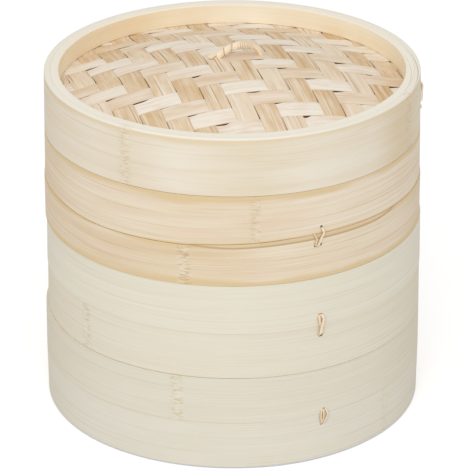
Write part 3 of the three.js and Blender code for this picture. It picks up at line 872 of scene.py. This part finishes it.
lid_low = levels("lid_outer_band")[0]
lid_holes = (
    stitch_holes("lid_stitch_upper", "lid", [(0, h * LID_UPPER_HALF, 3.0, 1.5) for h in (-1, 1)])
    + stitch_holes("lid_stitch_lower", "lid", [(0, h * LID_LOWER_HALF, 2.6, 1.2) for h in (-1, 1)]))
bent_ring("lid_outer_band", "lid", "lid_band", LID_JOINT, LID_OUTER, (0.3, 0.12, 0.9, 0.3), 41,
          marks=((-33.0, 0.8), (67.0, 0.8)), tint=honey_lid, holes=lid_holes, rims=(0.0, 5.0),
          rise=(-BAND_OVERLAP, 0.0), grow=(0.4, 0.0))
bent_ring("lid_inner_band", "lid", "lid_inner_band", LID_INNER, LID_JOINT - LID_JOINT_GAP,
          (0.15, 0.8, 0.12, 0.4), 42, tint=honey_back, holes=lid_holes, rims=(0.0, 1.0),
          rise=(-LID_INNER_DROP, 0.0))
bent_ring("lid_seat_hoop", "lid", "inner_hoop", HOOP_INNER, HOOP_OUTER, HOOP_EDGE, 43, holes=lid_holes)
sewn("lid_stitch_upper", "lid", LID_OUTER, 71, [
    (0.1, 1.5, 0.4, [(-0.8, -LID_UPPER_HALF), (-0.6, -4.6), (0.1, 0.0), (0.7, 4.6), (0.8, LID_UPPER_HALF)]),
    (0.8, 1.5, 0.4, [(0.8, -LID_UPPER_HALF), (0.7, -4.4), (0.0, 0.2), (-0.7, 4.4), (-0.8, LID_UPPER_HALF)]),
], rim=0.0)
sewn("lid_stitch_lower", "lid", LID_OUTER, 74, [
    (0.3, 1.8, 1.0, [(0.0, -LID_LOWER_HALF), (0.1, -0.6), (0.1, 0.6), (0.0, LID_LOWER_HALF)]),
], rim=0.0)


# Woven top

def dome(radius):
    """Height of the dome at a distance from its middle."""
    return DOME_RISE * max(0.0, 1 - (radius / DOME_RADIUS) ** 2) ** DOME_POWER


def on_lid(along, across, height):
    """A place in the frame of the weave."""
    return Vector((
        along * math.cos(WEAVE_TURN) - across * math.sin(WEAVE_TURN) + SLIDE["lid"],
        along * math.sin(WEAVE_TURN) + across * math.cos(WEAVE_TURN), lid_low + height))


def weft_over(warp, weft):
    """Over two and under two, one further on in each row."""
    return (warp + weft) % 4 < 2


def lane_edge(count, pitch, shift, k):
    """Where the strip with number k starts, across the mat."""
    return (k - count / 2) * pitch + shift


def woven_strip(node, slot, across, width, crossed, is_over, beside_over, upright, widest, tint, seed):
    """One flat strip of the mat, over two and under two, on the dome. Between two neighbours that both lie
    over, short slits open."""
    count, pitch, shift = crossed
    low, high = max(across - width / 2, -MAT_EDGE), min(across + width / 2, MAT_EDGE)
    across, width = (low + high) / 2, high - low
    dice = random.Random(seed * 7 + 3)
    drift = dice.uniform(0, 50)
    slits = {-1: [], 1: []}
    for k in range(count):
        for hand in (-1, 1):
            deep = dice.uniform(*SLIT_DEPTHS) * widest
            off = dice.uniform(*SLIT_PLACES)
            half = dice.uniform(*SLIT_HALVES)
            if is_over(k) and beside_over(hand, k) and deep > 0 and (upright or hand > 0):
                slits[hand].append((lane_edge(count, pitch, shift, k) + (0.5 + off) * pitch, half, deep))

    def reach_of(lane):
        return math.sqrt(max(1.0, MAT_RADIUS ** 2 - lane ** 2))

    def side_of(along):
        place = (along - lane_edge(count, pitch, shift, 0)) / pitch
        lane = math.floor(place)
        far = (place - lane) * pitch
        here = 1 if is_over(max(0, min(count - 1, lane))) else -1
        other, gone = (lane - 1, far) if far < pitch / 2 else (lane + 1, pitch - far)
        there = 1 if is_over(max(0, min(count - 1, other))) else -1
        return mix(there, here, 0.5 + 0.5 * soft_step(0, STRIP_BEND, gone))

    # Painted shade: the share of the strip lying under crossing strips, which its finish darkens so the slits
    # look shaded.
    def covered_shade(x, y):
        return soft_step(-0.2, -0.9, side_of((x - 1) * reach_of(across + y)))

    def inset(along, hand):
        return sum(deep * max(0.0, 1 - ((along - middle) / half) ** 2) for middle, half, deep in slits[hand])

    bm = strip(2.0, width, STRIP_THICKNESS, STRIP_STEPS, STRIP_EDGE, rounds=1, cuts=3)
    lay_fibre(bm, seed, width / 2, tint=tint, rims=(STRIP_RIM, STRIP_RIM), length=MAT_RADIUS, shade_share=covered_shade)

    def place(x, y, z):
        wander = STRIP_WANDER * noise.noise(Vector((x * 3.0, drift, 0.0)))
        along = (x - 1) * reach_of(across + y)
        lane = across + wander + y * (1 - 2 * inset(along, 1 if y > 0 else -1) / width)
        along = (x - 1) * reach_of(lane)
        height = MAT_MIDDLE + dome(math.hypot(along, lane)) + STRIP_LAYER * side_of(along) + z
        height += STRIP_CROWN * (1 - (2 * y / width) ** 2) * (1 if z > 0 else 0.4)
        return on_lid(-lane, along, height) if upright else on_lid(along, lane, height)

    bend(bm, place)
    return finished(bm, node + "_woven", "lid", slot, [node])


for weft in range(WEFT_COUNT):
    middle = lane_edge(WEFT_COUNT, WEFT_PITCH, WEFT_SHIFT, weft) + WEFT_PITCH / 2
    woven_strip(
        f"lid_weft_strip_{weft + 1:02d}", "weft_strip", middle, WEFT_PITCH - STRIP_SPACE,
        (WARP_COUNT, WARP_PITCH, WARP_SHIFT), lambda k: weft_over(k, weft),
        lambda hand, k: weft_over(k, weft + hand), upright=False, widest=WEFT_SLIT,
        tint=lambda x: WEFT_HONEY * middle / MAT_RADIUS, seed=100 + weft)
for warp in range(WARP_COUNT):
    middle = lane_edge(WARP_COUNT, WARP_PITCH, WARP_SHIFT, warp) + WARP_PITCH / 2
    woven_strip(
        f"lid_warp_strip_{warp + 1:02d}", "warp_strip", -middle, WARP_PITCH - STRIP_SPACE,
        (WEFT_COUNT, WEFT_PITCH, WEFT_SHIFT), lambda k: not weft_over(warp, k),
        lambda hand, k: not weft_over(warp - hand, k), upright=True, widest=WARP_SLIT,
        tint=lambda x: WARP_HONEY * (x - 1), seed=140 + warp)


def lining():
    """A thin domed sheet under the weave: a square sheet drawn in to a round one. Its dark brown is painted
    shade, for the shade seen through the slits of the weave.
    """
    bm = strip(2 * MAT_RADIUS, 2 * MAT_RADIUS, LINING_THICKNESS, LINING_STEPS, LINING_EDGE, rounds=1,
               cuts=LINING_STEPS - 1)
    lay_fibre(bm, 90, MAT_RADIUS)
    under = MAT_MIDDLE - STRIP_LAYER - STRIP_THICKNESS / 2 - LINING_GAP - LINING_THICKNESS / 2

    def place(x, y, z):
        x -= MAT_RADIUS
        far = max(abs(x), abs(y))
        round_off = far / math.hypot(x, y) if far > 0 else 1.0
        along, across = x * round_off, y * round_off
        return on_lid(along, across, under + dome(math.hypot(along, across)) + z)

    bend(bm, place)
    return finished(bm, "lid_lining_sheet", "lid", "lining", ["lid_lining"])


lining()


# Bow handle

HANDLE_RADIUS = (HANDLE_HALF ** 2 + HANDLE_RISE ** 2) / (2 * HANDLE_RISE)
HANDLE_FOOT = math.asin(HANDLE_HALF / HANDLE_RADIUS) * HANDLE_RADIUS
HANDLE_TOP = MAT_MIDDLE + HANDLE_UP + dome(math.hypot(HANDLE_ALONG, HANDLE_BACK)) + HANDLE_RISE
ACROSS_BOW = Vector((-math.sin(WEAVE_TURN), math.cos(WEAVE_TURN), 0))


def bow(arc):
    """Point of the bow's middle line, by the length of arc from its top."""
    angle = arc / HANDLE_RADIUS
    drop = HANDLE_RADIUS * (1 - math.cos(angle))
    lean = HANDLE_LEAN * (1 - drop / HANDLE_RISE)
    return on_lid(HANDLE_ALONG + HANDLE_RADIUS * math.sin(angle) + lean, HANDLE_BACK, HANDLE_TOP - drop)


def round_bow(arc, turn, radius):
    """A place round the bow."""
    along = (bow(arc + 0.05) - bow(arc - 0.05)).normalized()
    up = along.cross(ACROSS_BOW).normalized()
    if up.z < 0:
        up = -up
    return bow(arc) + (up * math.cos(turn) + ACROSS_BOW * math.sin(turn)) * radius


def handle_core():
    """The bow, which goes down through the weave, with a knot at each end."""
    reach = HANDLE_FOOT + CORE_TAIL
    bm = strip(2 * reach, CORE_THICKNESS, CORE_THICKNESS, CORE_STEPS, CORE_THICKNESS * CORE_EDGE, rounds=3)
    lay_fibre(bm, 81, CORE_THICKNESS / 2, tint=lambda x: CORE_HONEY)
    bend(bm, lambda x, y, z: round_bow(x - reach, math.atan2(y, z), math.hypot(y, z)))
    parts = [bm]
    for hand in (-1, 1):
        bm = strip(KNOT_TURNS * KNOT_GIRTH, KNOT_WIDTH, KNOT_THICKNESS, KNOT_STEPS, KNOT_EDGE)
        lay_fibre(bm, 84 + hand, KNOT_WIDTH / 2)
        end = hand * (reach - KNOT_BACK)

        def place(x, y, z):
            turn = 2 * math.pi * x / KNOT_GIRTH
            return round_bow(end - hand * KNOT_PITCH * x / KNOT_GIRTH + y, turn, KNOT_RADIUS + z)

        bend(bm, place)
        parts.append(bm)
    return finished(joined(parts), "lid_handle_core_cane", "lid", "cane", ["lid_handle_core"])


def wound(first, pitch, turns, width, thickness, edge, crown, honey, rim, seed, steps):
    """Turns of cane round the bow, from a place along it."""
    radius = CORE_THICKNESS / 2 + thickness / 2
    girth = 2 * math.pi * radius
    bm = strip(turns * girth, width, thickness, steps, edge, cuts=2 if crown else 0)
    lay_fibre(bm, seed, width / 2, tint=lambda x: honey, rims=(rim, rim))

    def place(x, y, z):
        swell = crown * (1 - (2 * y / width) ** 2)
        turn = 2 * math.pi * x / girth + WRAP_START
        return round_bow(first + pitch * x / girth + y, turn, radius + WRAP_GAP + z + swell)

    bend(bm, place)
    return bm


def loose_end(out, back, seed):
    """A strand that splays from the bow's left foot and lies on the weave."""
    start = bow(-HANDLE_FOOT + LOOSE_START)
    end = bow(-HANDLE_FOOT) + on_lid(out, back, 0) - on_lid(0, 0, 0)
    from_middle = end - on_lid(0, 0, 0)
    end.z = lid_low + MAT_MIDDLE + LOOSE_UP + dome(math.hypot(from_middle.x, from_middle.y))
    middle = (start + end) / 2 + Vector((0, 0, LOOSE_ARCH))
    return strand([start, middle, end], LOOSE_WIDTH, LOOSE_THICKNESS, ACROSS_BOW, seed, taper=LOOSE_TAPER,
                  rim=LOOSE_RIM, paler=-LOOSE_HONEY)


def handle_wrap():
    """Broad flat turns on the left of the bow, fine turns on its right, and loose ends at its left foot."""
    parts = [
        wound(first=-13.0, pitch=3.9, turns=2.75, width=3.75, thickness=0.5, edge=0.18, crown=0.2, honey=0.4,
              rim=0.18, seed=91, steps=70),
        wound(first=-2.2, pitch=0.95, turns=8.8, width=0.86, thickness=0.8, edge=0.3, crown=0.0, honey=0.15,
              rim=0.08, seed=92, steps=180),
    ]
    parts += [loose_end(out, back, 93 + k) for k, (out, back) in enumerate(LOOSE_ENDS)]
    return finished(joined(parts), "lid_handle_wrap_cane", "lid", "cane", ["lid_handle_wrap"])


handle_core()
handle_wrap()


# Floor, light and camera

def white_floor():
    """A pale floor that the camera sees as white."""
    bm = bmesh.new()
    bmesh.ops.create_grid(bm, x_segments=1, y_segments=1, size=FLOOR_SIZE)
    mesh = bpy.data.meshes.new("floor")
    bm.to_mesh(mesh)
    bm.free()
    floor = bpy.data.objects.new("floor", mesh)
    bpy.context.scene.collection.objects.link(floor)
    f = Finish("floor")
    f.shader.inputs["Base Color"].default_value = (FLOOR_GREY, FLOOR_GREY, FLOOR_GREY, 1)
    f.shader.inputs["Roughness"].default_value = 1.0
    f.shader.inputs["Specular IOR Level"].default_value = 0.0
    glow = f.add("ShaderNodeEmission")
    seen = f.add("ShaderNodeLightPath").outputs["Is Camera Ray"]
    glow.inputs["Color"].default_value = (1, 1, 1, 1)
    f.feed(glow.inputs["Strength"], f.math("MULTIPLY", seen, FLOOR_GLOW))
    both = f.add("ShaderNodeAddShader", f.shader.outputs[0], glow.outputs[0])
    f.feed(f.tree.nodes["Material Output"].inputs["Surface"], both.outputs[0])
    mesh.materials.append(f.material)


def white_tent():
    """Even light from all round, which the camera sees as white."""
    world = bpy.data.worlds.new("white tent")
    bpy.context.scene.world = world
    world.use_nodes = True
    tree = world.node_tree
    sky = tree.nodes["Background"]
    sky.inputs["Color"].default_value = (1, 1, 1, 1)
    seen = tree.nodes.new("ShaderNodeLightPath")
    level = tree.nodes.new("ShaderNodeMapRange")
    tree.links.new(seen.outputs["Is Camera Ray"], level.inputs["Value"])
    level.inputs["To Min"].default_value = TENT_LIGHT
    level.inputs["To Max"].default_value = TENT_WHITE
    tree.links.new(level.outputs[0], sky.inputs["Strength"])


def front_softbox():
    """A large round softbox, above the camera and a little to its left."""
    lamp = bpy.data.lights.new("front softbox", "AREA")
    lamp.shape = "DISK"
    lamp.size = SOFTBOX_SIZE
    lamp.energy = SOFTBOX_POWER
    softbox = bpy.data.objects.new("front softbox", lamp)
    softbox.location = SOFTBOX_PLACE
    aim = Vector(SOFTBOX_AIM) - softbox.location
    softbox.rotation_euler = aim.to_track_quat("-Z", "Y").to_euler()
    bpy.context.scene.collection.objects.link(softbox)


def front_camera():
    """A long lens from the front, looking down on the lid."""
    lens = bpy.data.cameras.new("camera")
    lens.lens = CAMERA_LENS
    lens.sensor_width = CAMERA_SENSOR
    lens.clip_start, lens.clip_end = CAMERA_NEAR, CAMERA_FAR
    camera = bpy.data.objects.new("camera", lens)
    camera.location = CAMERA_PLACE
    camera.rotation_euler = (CAMERA_TILT, 0, 0)
    bpy.context.scene.collection.objects.link(camera)
    bpy.context.scene.camera = camera
    bpy.context.scene.view_settings.view_transform = "Standard"


white_floor()
white_tent()
front_softbox()
front_camera()
